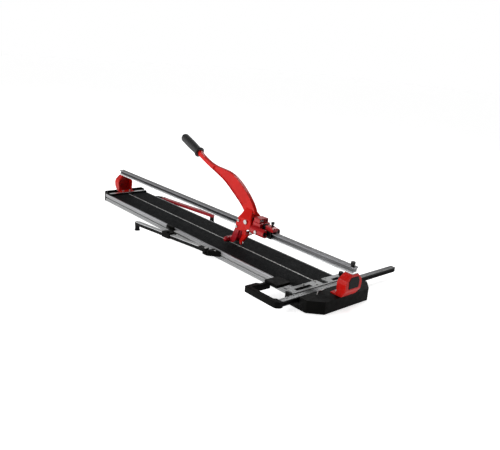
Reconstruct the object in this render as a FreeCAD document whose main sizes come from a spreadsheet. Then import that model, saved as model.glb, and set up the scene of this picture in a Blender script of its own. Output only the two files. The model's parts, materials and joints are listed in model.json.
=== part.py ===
import FreeCAD, Part
import math
import os

# Manual tile cutter for tiles up to 1200 mm, in millimetres.
# X runs along the guide rail, towards the fence.  Y runs across the table.  Z is up.
# The origin is on the floor, under the middle of the breaking ridge.

os.makedirs("parts", exist_ok=True)
Vector = FreeCAD.Vector
document = FreeCAD.newDocument("tile_cutter")

# ------------------------------------------------------------------ driving dimensions

SIZES = {
    "table_height": 36,          # floor to the top of the mats
    "table_half_width": 96,
    "ground_gap": 2,             # floor to the underside of the castings
    "profile_length": 1243,
    "mat_length": 1200,
    "mat_thickness": 4,
    "side_lip": 6,               # aluminium showing beside each mat
    "sheet_wall": 2.5,           # wall of the table extrusions
    "ridge_half_width": 2.2,
    "ridge_rise": 1,             # ridge above the mats
    "rail_length": 1425,
    "rail_middle": 43.5,         # centre of the rail along X
    "rail_half_width": 11.4,
    "rail_bottom": 115.6,
    "rail_height": 21.4,
    "foot_length": 142,
    "foot_half_width": 140,
    "foot_top": 42,
    "fence_thickness": 4,
    "bar_width": 19,
    "bar_top": 40,
    "bar_length": 541,
    "bar_low_end": -205,
    "pivot_along": 285,          # lever pivot on the carriage
    "pivot_height": 149,
    "pivot_radius": 5,
    "roller_radius": 8.5,
    "roller_width": 5,
    "wheel_radius": 10,
    "wheel_width": 3,
    "fork_half_width": 30,
    "fork_gap": 24,              # half of the slot between the fork's cheeks
    "carriage_half_width": 23.6,
    "arm_width": 19,
    "arm_bottom": 22,
    "arm_thickness": 12.5,
    "grip_length": 120,
    "tang_radius": 8,
    "running_clearance": 0.05,
}

sheet = document.addObject("Spreadsheet::Sheet", "Sizes")
for row, (alias, number) in enumerate(SIZES.items(), start=1):
    sheet.set(f"A{row}", alias)
    sheet.set(f"B{row}", str(number))
    sheet.setAlias(f"B{row}", alias)
document.recompute()


def size(alias):
    return float(sheet.get(alias))


TABLE_TOP = size("table_height")
TABLE_EDGE = size("table_half_width")
GROUND = size("ground_gap")
TABLE_END = size("mat_length") / 2
PLATE_TOP = TABLE_TOP - size("mat_thickness")
MAT_EDGE = TABLE_EDGE - size("side_lip")
RIDGE = size("ridge_half_width")
RAIL_BOTTOM = size("rail_bottom")
RAIL_TOP = RAIL_BOTTOM + size("rail_height")
RAIL_MIDDLE = size("rail_middle")
FOOT_TOP = size("foot_top")
FOOT_FRONT = TABLE_END + size("foot_length")
PIVOT = Vector(size("pivot_along"), 0, size("pivot_height"))

# the left end cap and the towers
CAP_LEFT = TABLE_END * -1 - 52
CAP_TOP = 42
CAP_RIM = 48
PROFILE_LEFT = TABLE_END - size("profile_length")
TOWER_MIDDLE = (FOOT_FRONT + CAP_LEFT) / 2
TOWER_SCREW_X = FOOT_FRONT - 31
TOWER_SCREW_Y = (-17, 17)
RIGHT_BOLT = FOOT_FRONT + 2
LEFT_BOLT = CAP_LEFT - 2

# the channel across the foot, the bar in it, and the fence beside it
CHANNEL_LOW = 22
CHANNEL_START = TABLE_END + 45
CHANNEL_END = CHANNEL_START + 29
BAR_LEFT = CHANNEL_START + 5
BAR_RIGHT = BAR_LEFT + size("bar_width")
BAR_LOW = CHANNEL_LOW + 1
STRIP_HEIGHT = 1.5
FENCE_FACE = TABLE_END + 6
FENCE_KNOB = Vector(TABLE_END + 28, 98, 0)
FENCE_SCREWS = [(TABLE_END + 12, -60), (TABLE_END + 12, -8), (TABLE_END + 32, -20), (TABLE_END + 12, 40)]

# places on the carriage and the lever
COVER_SCREWS = [(323, 0), (338, 0)]
STOP_SCREW = Vector(300, -18, 112)
HOUSING_BOLT_X = 350
HOUSING_ACROSS = 27
HOUSING_HEIGHT = 132
BOLT_SEAT = 12.5
LOCK_LOW = RAIL_TOP + 3.4
LOCK_SCREW_X = 390
FOOT_SCREWS = [(246, 144), (238, 120)]
FOOT_BAR = Vector(185, 0, 56)
WHEEL_CENTRE = Vector(236, 0, 51)

ALONG_X = Vector(1, 0, 0)
ALONG_Y = Vector(0, 1, 0)
UP = Vector(0, 0, 1)

subparts = []
frame_screws = []
arm_pivot_bolts = []


# ------------------------------------------------------------------ helpers

def keep(item, label):
    """Name a finished sub-part and put it on the list that is written out."""
    item.Label = label
    subparts.append(item)
    return item


def corner_edges(outline):
    """Edges of a closed outline of (u, v) or (u, v, corner radius) points."""
    points = [Vector(point[0], point[1], 0) for point in outline]
    radii = [point[2] if len(point) > 2 else 0 for point in outline]
    starts = []
    ends = []
    edges = []
    for index, point in enumerate(points):
        before = (points[index - 1] - point).normalize()
        after = (points[(index + 1) % len(points)] - point).normalize()
        half_angle = before.getAngle(after) / 2
        reach = radii[index] / math.tan(half_angle)
        starts.append(point + before * reach)
        ends.append(point + after * reach)
        if radii[index] > 0:
            bisector = (before + after).normalize()
            depth = radii[index] / math.sin(half_angle) - radii[index]
            edges.append(Part.Arc(starts[-1], point + bisector * depth, ends[-1]))
    for index in range(len(points)):
        edges.append(Part.LineSegment(ends[index], starts[(index + 1) % len(points)]))
    return edges


def spline_edge(points):
    curve = Part.BSplineCurve()
    curve.interpolate([Vector(u, v, 0) for u, v in points])
    return curve


def new_body(name):
    return document.addObject("PartDesign::Body", name)


def add_sketch(body, plane, edges, offset=0.0):
    """A sketch on one of the body's own origin planes, moved along its normal."""
    sketch = body.newObject("Sketcher::SketchObject", body.Name + "Sketch")
    support = next(item for item in body.Origin.OriginFeatures if item.Role == plane)
    sketch.AttachmentSupport = [(support, "")]
    sketch.MapMode = "FlatFace"
    sketch.AttachmentOffset = FreeCAD.Placement(Vector(0, 0, offset), FreeCAD.Rotation())
    for edge in edges:
        sketch.addGeometry(edge, False)
    return sketch


def add_pad(body, plane, edges, length, offset=0.0, symmetric=False):
    """Add material.  The length is a number or an expression on the sheet."""
    pad = body.newObject("PartDesign::Pad", body.Name + "Pad")
    pad.Profile = add_sketch(body, plane, edges, offset)
    set_length(pad, length, symmetric)
    body.Tip = pad
    return pad


def add_pocket(body, plane, edges, length, offset=0.0, symmetric=False, along_normal=False):
    """Cut material against the plane's normal, along it, or both ways."""
    pocket = body.newObject("PartDesign::Pocket", body.Name + "Pocket")
    pocket.Profile = add_sketch(body, plane, edges, offset)
    pocket.Reversed = along_normal
    set_length(pocket, length, symmetric)
    body.Tip = pocket
    return pocket


def set_length(feature, length, symmetric):
    if isinstance(length, str):
        feature.setExpression("Length", length)
    else:
        feature.Length = length
    if symmetric:
        feature.SideType = "Symmetric"


def prism(name, plane, outline, length, offset=0.0, symmetric=False):
    body = new_body(name)
    add_pad(body, plane, corner_edges(outline), length, offset, symmetric)
    return body


def block(name, low, high):
    """An axis-parallel box between two corners."""
    item = document.addObject("Part::Box", name)
    item.Length = high[0] - low[0]
    item.Width = high[1] - low[1]
    item.Height = high[2] - low[2]
    item.Placement.Base = Vector(*low)
    return item


def rod(name, start, direction, radius, length):
    """A cylinder from a point along a direction."""
    item = document.addObject("Part::Cylinder", name)
    item.Radius = radius
    if isinstance(length, str):
        item.setExpression("Height", length)
    else:
        item.Height = length
    item.Placement = FreeCAD.Placement(Vector(*start), FreeCAD.Rotation(UP, Vector(*direction)))
    return item


def fuse(name, items):
    item = document.addObject("Part::MultiFuse", name)
    item.Shapes = items
    return item


def cut(name, base, tool):
    item = document.addObject("Part::Cut", name)
    item.Base = base
    item.Tool = tool
    return item


def common(name, first, second):
    item = document.addObject("Part::MultiCommon", name)
    item.Shapes = [first, second]
    return item


def group(name, items):
    item = document.addObject("Part::Compound", name)
    item.Links = items
    return item


def cap_screw(name, seat, inward, head_radius, head_height, shank_radius, shank_length):
    """A socket-head screw: the head stands on its seat and the shank goes inward."""
    seat = Vector(*seat)
    inward = Vector(*inward)
    outward = inward * -1
    head = rod(name + "Head", seat, outward, head_radius, head_height)
    shank = rod(name + "Shank", seat, inward, shank_radius, shank_length)
    socket = document.addObject("Part::Prism", name + "Socket")
    socket.Polygon = 6
    socket.Circumradius = head_radius * 0.55
    socket.Height = head_height * 0.6
    turn = FreeCAD.Rotation(UP, outward)
    socket.Placement = FreeCAD.Placement(seat + outward * head_height * 0.4, turn)
    return cut(name, fuse(name + "Blank", [head, shank]), socket)


def small_screw(name, seat, inward):
    """The one size of screw that holds the fence plate and the arm brackets."""
    return cap_screw(name, seat, inward, 3.6, 2.4, 2, 8)


def hex_piece(name, seat, outward, radius, height):
    """A hexagonal nut or bolt head standing on its seat."""
    item = document.addObject("Part::Prism", name)
    item.Polygon = 6
    item.Circumradius = radius
    item.Height = height
    item.Placement = FreeCAD.Placement(Vector(*seat), FreeCAD.Rotation(UP, Vector(*outward)))
    return item


def drilled(name, base, holes):
    """The base with round holes: each hole is (start, direction, radius, length)."""
    tools = []
    for number, (start, direction, radius, length) in enumerate(holes):
        tools.append(rod(f"{name}Hole{number}", start, direction, radius, length))
    return cut(name, base, group(name + "Holes", tools))


# ------------------------------------------------------------------ table

def table_profile(label, side):
    """One hollow aluminium extrusion: half of the table, with a slot along its outer face."""
    wall = size("sheet_wall")
    slot_depth = 4
    slot_low, slot_high = 17, 22
    web = 50
    outer = [(RIDGE, GROUND), (TABLE_EDGE, GROUND, 1.5), (TABLE_EDGE, slot_low),
             (TABLE_EDGE - slot_depth, slot_low), (TABLE_EDGE - slot_depth, slot_high),
             (TABLE_EDGE, slot_high), (TABLE_EDGE, TABLE_TOP, 1), (MAT_EDGE, TABLE_TOP),
             (MAT_EDGE, PLATE_TOP), (RIDGE, PLATE_TOP)]
    cell_low, cell_high = GROUND + wall, PLATE_TOP - wall
    cell_ends = [(RIDGE + wall, web - wall), (web, TABLE_EDGE - slot_depth - wall)]
    edges = corner_edges([(side * point[0],) + point[1:] for point in outer])
    for near_end, far_end in cell_ends:
        edges += corner_edges([(side * near_end, cell_low), (side * far_end, cell_low),
                               (side * far_end, cell_high), (side * near_end, cell_high)])
    body = new_body(label)
    middle = TABLE_END - size("profile_length") / 2
    add_pad(body, "YZ_Plane", edges, "Sizes.profile_length", middle, symmetric=True)
    keep(body, label)


def mat(label, side):
    """Rubber mat lying in the recess of one table profile, with shallow ribs along it."""
    rib_pitch, groove_width, groove_depth = 8, 1.2, 0.6
    rib_count = 9
    first_groove = RIDGE + 10
    outline = [(RIDGE, PLATE_TOP), (MAT_EDGE, PLATE_TOP), (MAT_EDGE, TABLE_TOP)]
    for index in reversed(range(rib_count)):
        start = first_groove + index * rib_pitch
        outline += [(start + groove_width, TABLE_TOP), (start + groove_width, TABLE_TOP - groove_depth),
                    (start, TABLE_TOP - groove_depth), (start, TABLE_TOP)]
    outline.append((RIDGE, TABLE_TOP))
    mirrored = [(side * across, height) for across, height in outline]
    keep(prism(label, "YZ_Plane", mirrored, "Sizes.mat_length", symmetric=True), label)


def breaking_ridge():
    """Steel strip on edge between the profiles, over which the scored tile snaps."""
    top = TABLE_TOP + size("ridge_rise")
    bottom = 12
    outline = [(-RIDGE, bottom), (RIDGE, bottom), (RIDGE, TABLE_TOP), (RIDGE / 2, top),
               (-RIDGE / 2, top), (-RIDGE, TABLE_TOP)]
    body = prism("breaking_ridge", "YZ_Plane", outline, "Sizes.mat_length - 4", symmetric=True)
    keep(body, "breaking_ridge")


def left_end_cap():
    """Black casting that closes the left end of the table and carries a tower."""
    rim_width = 6
    corner_length = 30
    tower_gap = 36
    body = new_body("cap_casting")
    side_view = [(CAP_LEFT, GROUND), (PROFILE_LEFT, GROUND), (PROFILE_LEFT, TABLE_TOP),
                 (-TABLE_END, TABLE_TOP), (-TABLE_END, CAP_TOP, 1.5), (CAP_LEFT, CAP_TOP)]
    add_pad(body, "XZ_Plane", corner_edges(side_view), "Sizes.table_half_width * 2", symmetric=True)
    filler = [(PROFILE_LEFT, PLATE_TOP), (-TABLE_END, PLATE_TOP), (-TABLE_END, TABLE_TOP),
              (PROFILE_LEFT, TABLE_TOP)]
    add_pad(body, "XZ_Plane", corner_edges(filler), MAT_EDGE * 2, symmetric=True)
    for side in (-1, 1):
        rim = [(CAP_LEFT, side * tower_gap, 2), (CAP_LEFT, side * TABLE_EDGE, 2),
               (CAP_LEFT + corner_length, side * TABLE_EDGE, 2),
               (CAP_LEFT + corner_length, side * MAT_EDGE, 2),
               (CAP_LEFT + rim_width, side * MAT_EDGE, 4), (CAP_LEFT + rim_width, side * tower_gap, 2)]
        add_pad(body, "XY_Plane", corner_edges(rim), CAP_RIM - CAP_TOP, CAP_TOP)
    screw_height = 24
    screw_places = [(CAP_LEFT, y, screw_height) for y in (-70, -26, 26, 70)]
    holes = [(place, ALONG_X, 2.5, 9) for place in screw_places]
    holes += [((CAP_LEFT + 31, y, CAP_TOP - 6), UP, 3, 10) for y in TOWER_SCREW_Y]
    keep(drilled("left_end_cap_drilled", body, holes), "left_end_cap")
    for number, place in enumerate(screw_places):
        frame_screws.append(cap_screw(f"cap_screw_{number}", place, ALONG_X, 4.5, 3, 2.5, 9))


def end_cap_strip():
    """Bright strip along the end cap: narrow in front of the tower, wider on both sides of it."""
    near_mat, narrow, wide = -TABLE_END - 3, 6, 16
    reach, tower_half = 90, 38
    height = 1.2
    pieces = [block("strip_middle", (near_mat - narrow, -reach, CAP_TOP),
                    (near_mat, reach, CAP_TOP + height))]
    for number, side in enumerate((-1, 1)):
        low, high = sorted((side * tower_half, side * reach))
        pieces.append(block(f"strip_{number}", (near_mat - wide, low, CAP_TOP),
                            (near_mat, high, CAP_TOP + height)))
    keep(fuse("end_cap_strip_fuse", pieces), "end_cap_strip")


def foot_casting():
    """Heavy black base at the fence end, with a channel for the measuring bar."""
    half = size("foot_half_width")
    body = new_body("foot_block")
    plan = [(TABLE_END, -half + 32, 4), (TABLE_END + 13, -half + 8, 4), (TABLE_END + 13, -half, 3),
            (FOOT_FRONT - 38, -half, 6), (FOOT_FRONT, -half + 40, 6),
            (FOOT_FRONT, half - 40, 6), (FOOT_FRONT - 38, half, 6), (TABLE_END, half, 4)]
    add_pad(body, "XY_Plane", corner_edges(plan), "Sizes.foot_top - Sizes.ground_gap", GROUND)
    above = FOOT_TOP + 5
    channel = [(CHANNEL_START, CHANNEL_LOW), (CHANNEL_END, CHANNEL_LOW), (CHANNEL_END, above),
               (TABLE_END - 5, above), (TABLE_END - 5, TABLE_TOP), (CHANNEL_START, TABLE_TOP)]
    add_pocket(body, "XZ_Plane", corner_edges(channel), 4 * half, symmetric=True)
    hollow_depth = 14
    for low, high in ((-130, -70), (-64, -3), (3, 64), (70, 130)):
        hollow = [(TABLE_END + 8, low, 4), (TABLE_END + 100, low, 4), (TABLE_END + 100, high, 4),
                  (TABLE_END + 8, high, 4)]
        add_pocket(body, "XY_Plane", corner_edges(hollow), hollow_depth, GROUND, along_normal=True)
    holes = [(FENCE_KNOB + UP * (TABLE_TOP - 12), UP, 3.05, 30)]
    holes += [((x, y, TABLE_TOP - 10), UP, 2, 30) for x, y in FENCE_SCREWS]
    holes += [((TOWER_SCREW_X, y, FOOT_TOP - 12), UP, 3, 30) for y in TOWER_SCREW_Y]
    keep(drilled("foot_casting_drilled", body, holes), "foot_casting")


def fence_plate():
    """Bright plate that the tile's edge rests against, with two windows and a notch at the ridge."""
    near_end, far_end = -133, 116
    left, right = FENCE_FACE, CHANNEL_START
    notch_low, notch_high = 4, 28
    land = right - 6
    body = new_body("fence_sheet")
    edges = corner_edges([(left, near_end + 21, 3), (left + 6, near_end, 3), (right, near_end, 2),
                          (right, far_end, 3), (left, far_end, 3), (left, notch_high),
                          (land, notch_high, 2), (land, notch_low, 2), (left, notch_low)])
    for window_left, window_right, low, high in ((20, 35, -111, -41), (24, 38, 53, 88)):
        edges += corner_edges([(TABLE_END + window_left, low, 2), (TABLE_END + window_right, low, 2),
                               (TABLE_END + window_right, high, 2), (TABLE_END + window_left, high, 2)])
    add_pad(body, "XY_Plane", edges, "Sizes.fence_thickness", TABLE_TOP)
    holes = [(FENCE_KNOB + UP * (TABLE_TOP - 1), UP, 3.05, 8)]
    holes += [((x, y, TABLE_TOP - 1), UP, 2, 8) for x, y in FENCE_SCREWS]
    keep(drilled("fence_plate_drilled", body, holes), "fence_plate")
    seat = TABLE_TOP + size("fence_thickness")
    for number, (x, y) in enumerate(FENCE_SCREWS):
        frame_screws.append(small_screw(f"fence_screw_{number}", (x, y, seat), UP * -1))


def fence_lock_knob():
    """Knurled thumbscrew that locks the fence, standing on the plate."""
    seat = TABLE_TOP + size("fence_thickness") + 0.3
    stem = rod("knob_stem", FENCE_KNOB + UP * (TABLE_TOP - 10), UP, 3, 24)
    waist = rod("knob_waist", FENCE_KNOB + UP * seat, UP, 5, 6)
    head = rod("knob_head", FENCE_KNOB + UP * (seat + 5), UP, 8, 12)
    keep(fuse("fence_lock_knob_fuse", [stem, waist, head]), "fence_lock_knob")


def bar_clip():
    """Bent wire clip on the foot, which keeps the measuring bar down."""
    wire = 1.3
    height = FOOT_TOP + wire
    bends = [Vector(BAR_RIGHT + 7, -36, height), Vector(BAR_RIGHT + 6.5, -62, height),
             Vector(BAR_RIGHT + 22, -84, height)]
    pieces = []
    for number, (start, end) in enumerate(zip(bends, bends[1:])):
        along = end - start
        pieces.append(rod(f"clip_wire_{number}", start, along, wire, along.Length))
    elbow = document.addObject("Part::Sphere", "clip_elbow")
    elbow.Radius = wire
    elbow.Placement.Base = bends[1]
    keep(fuse("bar_clip_fuse", pieces + [elbow]), "bar_clip")


def rubber_pads():
    """Round rubber pads under the foot casting, the middle of the table and its left end."""
    places = [(0, 0), (TABLE_END + 118, -75), (TABLE_END + 118, 75),
              (CAP_LEFT + 26, -60), (CAP_LEFT + 26, 60)]
    radii = [14, 12, 12, 12, 12]
    pads = [rod(f"pad_{number}", (x, y, 0), UP, radius, "Sizes.ground_gap")
            for number, ((x, y), radius) in enumerate(zip(places, radii))]
    keep(group("rubber_pad_group", pads), "rubber_pads")


# ------------------------------------------------------------------ towers and rail

def tower(label, side, plan_name):
    """Red cast tower, open towards the middle of the machine, leaning out to the rail's end."""
    reach = FOOT_FRONT - TOWER_MIDDLE

    def place(offset):
        return TOWER_MIDDLE + side * (reach + offset)

    wall = 5
    shell = [(-33, FOOT_TOP), (33, FOOT_TOP), (36.5, 84, 4), (33, 97, 3), (14, RAIL_BOTTOM),
             (-14, RAIL_BOTTOM), (-33, 97, 3), (-36.5, 84, 4)]
    inside = [(-28, FOOT_TOP + 4), (28, FOOT_TOP + 4), (31.5, 84, 3), (28.5, 94, 2),
              (11, RAIL_BOTTOM - wall), (-11, RAIL_BOTTOM - wall), (-28.5, 94, 2), (-31.5, 84, 3)]
    profile = [(-42, FOOT_TOP), (0, FOOT_TOP), (15, 64, 14), (15, RAIL_BOTTOM),
               (-14, RAIL_BOTTOM), (-20, 92, 12), (-20, 58, 10), (-24, FOOT_TOP + 4, 3),
               (-42, FOOT_TOP + 4)]
    hollow = [(-60, FOOT_TOP + 4), (-4, FOOT_TOP + 4, 4), (10, 67, 10), (10, RAIL_BOTTOM - wall, 4),
              (-60, RAIL_BOTTOM - wall)]
    span = 140
    shell_prism = prism(plan_name + "Shell", "YZ_Plane", shell, span, place(0), symmetric=True)
    inner_prism = prism(plan_name + "Inner", "YZ_Plane", inside, span, place(0), symmetric=True)
    outer = [(place(point[0]),) + point[1:] for point in profile]
    inner = [(place(point[0]),) + point[1:] for point in hollow]
    outer_prism = prism(plan_name + "Profile", "XZ_Plane", outer, span, symmetric=True)
    hollow_prism = prism(plan_name + "Hollow", "XZ_Plane", inner, span, symmetric=True)
    solid = common(plan_name + "Solid", shell_prism, outer_prism)
    cavity = common(plan_name + "Cavity", inner_prism, hollow_prism)
    casting = cut(plan_name + "Casting", solid, cavity)
    screw_x = place(TOWER_SCREW_X - FOOT_FRONT)
    holes = [((screw_x, y, FOOT_TOP - 1), UP, 3, 8) for y in TOWER_SCREW_Y]
    holes.append(((place(2), 0, RAIL_BOTTOM - 8), UP, 3, 12))
    keep(drilled(plan_name + "Drilled", casting, holes), label)
    return screw_x


def towers():
    """Both towers and the screws that hold them down: longer ones go into the foot."""
    seats = [(tower("left_tower", -1, "LeftTower"), 6), (tower("right_tower", 1, "RightTower"), 10)]
    for number, (x, depth) in enumerate(seats):
        for side_number, y in enumerate(TOWER_SCREW_Y):
            frame_screws.append(cap_screw(f"tower_screw_{number}{side_number}", (x, y, FOOT_TOP + 4),
                                          UP * -1, 5, 4, 3, depth))


def tower_end_plate():
    """Plain dark plate screwed on the outer face of the right tower."""
    face = FOOT_FRONT + 15
    outline = [(-23, 70, 3), (23, 70, 3), (24, 94, 4), (16, 106, 4), (-16, 106, 4), (-24, 94, 4)]
    keep(prism("tower_end_plate", "YZ_Plane", outline, 1.2, face), "tower_end_plate")


def guide_rail():
    """Waisted aluminium rail: the carriage rollers run in the recess on each side."""
    half = size("rail_half_width")
    waist = 5.5
    right_side = [(half, RAIL_BOTTOM), (half, RAIL_BOTTOM + 3.4), (waist, RAIL_BOTTOM + 7.4),
                  (waist, RAIL_BOTTOM + 14.4), (half, RAIL_TOP - 3), (half, RAIL_TOP, 0.8)]
    top_groove = [(3, RAIL_TOP), (2.2, RAIL_TOP - 1.2)]
    left_side = [(-point[0],) + point[1:] for point in reversed(right_side + top_groove)]
    body = new_body("rail_extrusion")
    add_pad(body, "YZ_Plane", corner_edges(right_side + top_groove + left_side), "Sizes.rail_length",
            RAIL_MIDDLE, symmetric=True)
    holes = [((x, 0, RAIL_BOTTOM - 1), UP, 3, 40) for x in (LEFT_BOLT, RIGHT_BOLT)]
    keep(drilled("guide_rail_drilled", body, holes), "guide_rail")


def rail_bolts():
    """Bolt at each end of the rail, and the black buffer over the right one."""
    seat = RAIL_TOP - 1.2
    bolts = [cap_screw("left_rail_bolt", (LEFT_BOLT, 0, RAIL_TOP), UP * -1, 5, 4, 3, 28),
             rod("right_rail_bolt", (RIGHT_BOLT, 0, seat - 26), UP, 3, 34)]
    keep(group("rail_bolt_group", bolts), "rail_bolts")
    foot = rod("buffer_foot", (RIGHT_BOLT, 0, RAIL_TOP), UP, 5.5, 4)
    crown = rod("buffer_crown", (RIGHT_BOLT, 0, RAIL_TOP + 4), UP, 7, 9.5)
    hole = (RIGHT_BOLT, 0, RAIL_TOP - 1), UP, 3, seat + 8 - RAIL_TOP + 1
    keep(drilled("rail_buffer_drilled", fuse("rail_buffer_fuse", [foot, crown]), [hole]), "rail_buffer")


# ------------------------------------------------------------------ carriage

CHANNEL_HALF = 12.5
ROLLER_ACROSS = 5.5 + 0.3 + size("roller_radius")
ROLLER_HEIGHT = RAIL_BOTTOM + 10.9
ROLLER_X = {"rear": 272, "front": 336}
ROLLER_SIDES = {"near": -1, "far": 1}
BODY_LOW = 120
BODY_TOP = 158
BODY_START = 258
BODY_END = 352
HOUSING_START, HOUSING_END = 318, 388


def carriage_body():
    """Red casting that straddles the rail and carries the rollers and the lever pivot."""
    body = new_body("carriage_casting")
    side_view = [(BODY_START, BODY_LOW, 4), (BODY_END, BODY_LOW, 4), (BODY_END, BODY_TOP, 3),
                 (BODY_START + 10, BODY_TOP, 6), (BODY_START, 148, 6)]
    add_pad(body, "XZ_Plane", corner_edges(side_view), "Sizes.carriage_half_width * 2", symmetric=True)
    chamfer_end = 314
    for side in (-1, 1):
        wedge = [(side * 14, BODY_TOP + 1), (side * 24, 142.5), (side * 24, BODY_TOP + 1)]
        add_pocket(body, "YZ_Plane", corner_edges(wedge), 80, chamfer_end)
    roof = RAIL_TOP + 2
    tunnel = [(-CHANNEL_HALF, 60), (CHANNEL_HALF, 60), (CHANNEL_HALF, roof), (-CHANNEL_HALF, roof)]
    add_pocket(body, "YZ_Plane", corner_edges(tunnel), 300, 300, symmetric=True)
    half_width = size("roller_width") / 2
    holes = [((PIVOT.x, -40, PIVOT.z), ALONG_Y, 5 + size("running_clearance"), 80)]
    for x in ROLLER_X.values():
        for side in ROLLER_SIDES.values():
            y = side * ROLLER_ACROSS
            holes.append(((x, y, ROLLER_HEIGHT - half_width - 0.6), UP, 8.9, size("roller_width") + 1.2))
            holes.append(((x, y, BODY_LOW - 1), UP, 2.5, 33))
    holes.append(((STOP_SCREW.x, STOP_SCREW.y, BODY_LOW - 1), UP, 3, 12))
    holes += [((x, y, BODY_TOP - 8), UP, 2, 10) for x, y in COVER_SCREWS]
    keep(drilled("carriage_body_drilled", body, holes), "carriage_body")


def roller_axles():
    """Four vertical pins, pressed into the carriage body, that the rollers turn on."""
    pins = []
    for end, x in ROLLER_X.items():
        for name, side in ROLLER_SIDES.items():
            y = side * ROLLER_ACROSS
            pins.append(rod(f"axle_{end}_{name}", (x, y, BODY_LOW), UP, 2.5, 32))
    keep(group("roller_axle_group", pins), "roller_axles")


def rollers():
    """Grooved-rail rollers, one in each corner of the carriage body."""
    bore = 2.5 + size("running_clearance")
    for end, x in ROLLER_X.items():
        for name, side in ROLLER_SIDES.items():
            base = (x, side * ROLLER_ACROSS, ROLLER_HEIGHT - size("roller_width") / 2)
            disc = rod(f"roller_disc_{end}_{name}", base, UP, size("roller_radius"), "Sizes.roller_width")
            hole = (base[0], base[1], base[2] - 1), UP, bore, size("roller_width") + 2
            keep(drilled(f"roller_{end}_{name}_drilled", disc, [hole]), f"{end}_{name}_roller")


def bearing_housing(label, side):
    """Half-round housing bolted along the side of the carriage body."""
    radius, height = 14, HOUSING_HEIGHT
    across = side * HOUSING_ACROSS
    face = side * size("carriage_half_width")
    length = HOUSING_END - HOUSING_START
    tube = rod(label + "_tube", (HOUSING_START, across, height), ALONG_X, radius, length)
    trim_low, trim_high = sorted((face, face - side * 30))
    trim = block(label + "_trim", (HOUSING_START - 1, trim_low, 100), (HOUSING_END + 1, trim_high, 160))
    shell = cut(label + "_shell", tube, trim)
    bolt_seat = Vector(HOUSING_BOLT_X, across + side * BOLT_SEAT, height)
    holes = [((HOUSING_END - 20, across + side * 4, height), ALONG_X, 7.5, 21),
             (bolt_seat, Vector(0, side, 0), 7, 5),
             (bolt_seat, Vector(0, -side, 0), 2.5, 20)]
    keep(drilled(label + "_drilled", shell, holes), label)


def housing_fittings():
    """Dark plug in the open end of each housing, and a bolt through its side."""
    plugs = []
    bolts = []
    for number, side in enumerate(ROLLER_SIDES.values()):
        across = side * HOUSING_ACROSS
        plug_start = Vector(HOUSING_END - 14, across + side * 4, HOUSING_HEIGHT)
        plugs.append(rod(f"plug_{number}", plug_start, ALONG_X, 7.5, 11))
        seat = (HOUSING_BOLT_X, across + side * BOLT_SEAT, HOUSING_HEIGHT)
        bolts.append(fuse(f"housing_bolt_{number}", [
            hex_piece(f"housing_bolt_head_{number}", seat, (0, side, 0), 6.5, 4.5),
            rod(f"housing_bolt_shank_{number}", seat, (0, -side, 0), 2.5, 15)]))
    keep(group("housing_plug_group", plugs), "housing_plugs")
    keep(group("housing_bolt_group", bolts), "housing_bolts")


def carriage_cover():
    """Bent red cover over the front of the carriage, open at its front end."""
    start, length = 316, 29
    inner_top, outer_top = 171, 174
    outline = [(-20, BODY_TOP), (-17, BODY_TOP), (-17, inner_top, 3), (17, inner_top, 3), (17, BODY_TOP),
               (20, BODY_TOP), (20, outer_top, 5), (-20, outer_top, 5)]
    arch = prism("cover_arch", "YZ_Plane", outline, length, start)
    floor = block("cover_floor", (start, -17, BODY_TOP), (start + length, 17, BODY_TOP + 3))
    cover = fuse("cover_fuse", [arch, floor])
    holes = [((x, y, BODY_TOP - 1), UP, 2, 6) for x, y in COVER_SCREWS]
    keep(drilled("carriage_cover_drilled", cover, holes), "carriage_cover")
    screws = [cap_screw(f"cover_screw_{number}", (x, y, BODY_TOP + 3), UP * -1, 3.8, 3, 2, 10)
              for number, (x, y) in enumerate(COVER_SCREWS)]
    keep(group("cover_screw_group", screws), "cover_screws")


def rail_wiper():
    """Black plastic sleeve that wipes the rail in front of the carriage."""
    inner = size("rail_half_width") + 0.4
    outer = inner + 3.4
    roof = RAIL_TOP + 0.4
    low = RAIL_BOTTOM + 0.5
    outline = [(-outer, low), (-inner, low), (-inner, roof), (inner, roof), (inner, low), (outer, low),
               (outer, roof + 3, 3), (-outer, roof + 3, 3)]
    sleeve = prism("wiper_sleeve", "YZ_Plane", outline, 48, BODY_END)
    neck = block("wiper_neck", (BODY_END, -10, roof + 2), (367, 10, BODY_TOP - 2))
    keep(fuse("rail_wiper_fuse", [sleeve, neck]), "rail_wiper")


def carriage_lock():
    """Red clamp block on the sleeve, with the thumbscrew that holds the carriage still."""
    side_view = [(367, LOCK_LOW), (404, LOCK_LOW), (404, 152, 3), (395, 157, 4), (367, 157, 2)]
    body = prism("lock_block", "XZ_Plane", side_view, 22, symmetric=True)
    hole = (LOCK_SCREW_X, 0, LOCK_LOW + 4), UP, 3.05, 20
    keep(drilled("carriage_lock_block_drilled", body, [hole]), "carriage_lock_block")
    stem = rod("thumbscrew_stem", (LOCK_SCREW_X, 0, LOCK_LOW + 4.3), UP, 3, 22)
    collar = rod("thumbscrew_collar", (LOCK_SCREW_X, 0, 157.4), UP, 5, 3)
    head = rod("thumbscrew_head", (LOCK_SCREW_X, 0, 165), UP, 6, 8)
    keep(fuse("lock_thumbscrew_fuse", [stem, collar, head]), "lock_thumbscrew")


def stop_screw():
    """Bright adjusting screw under the carriage body."""
    keep(cap_screw("stop_screw_cut", STOP_SCREW, UP, 4, 6, 3, 18), "depth_stop_screw")


# ------------------------------------------------------------------ lever

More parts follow.
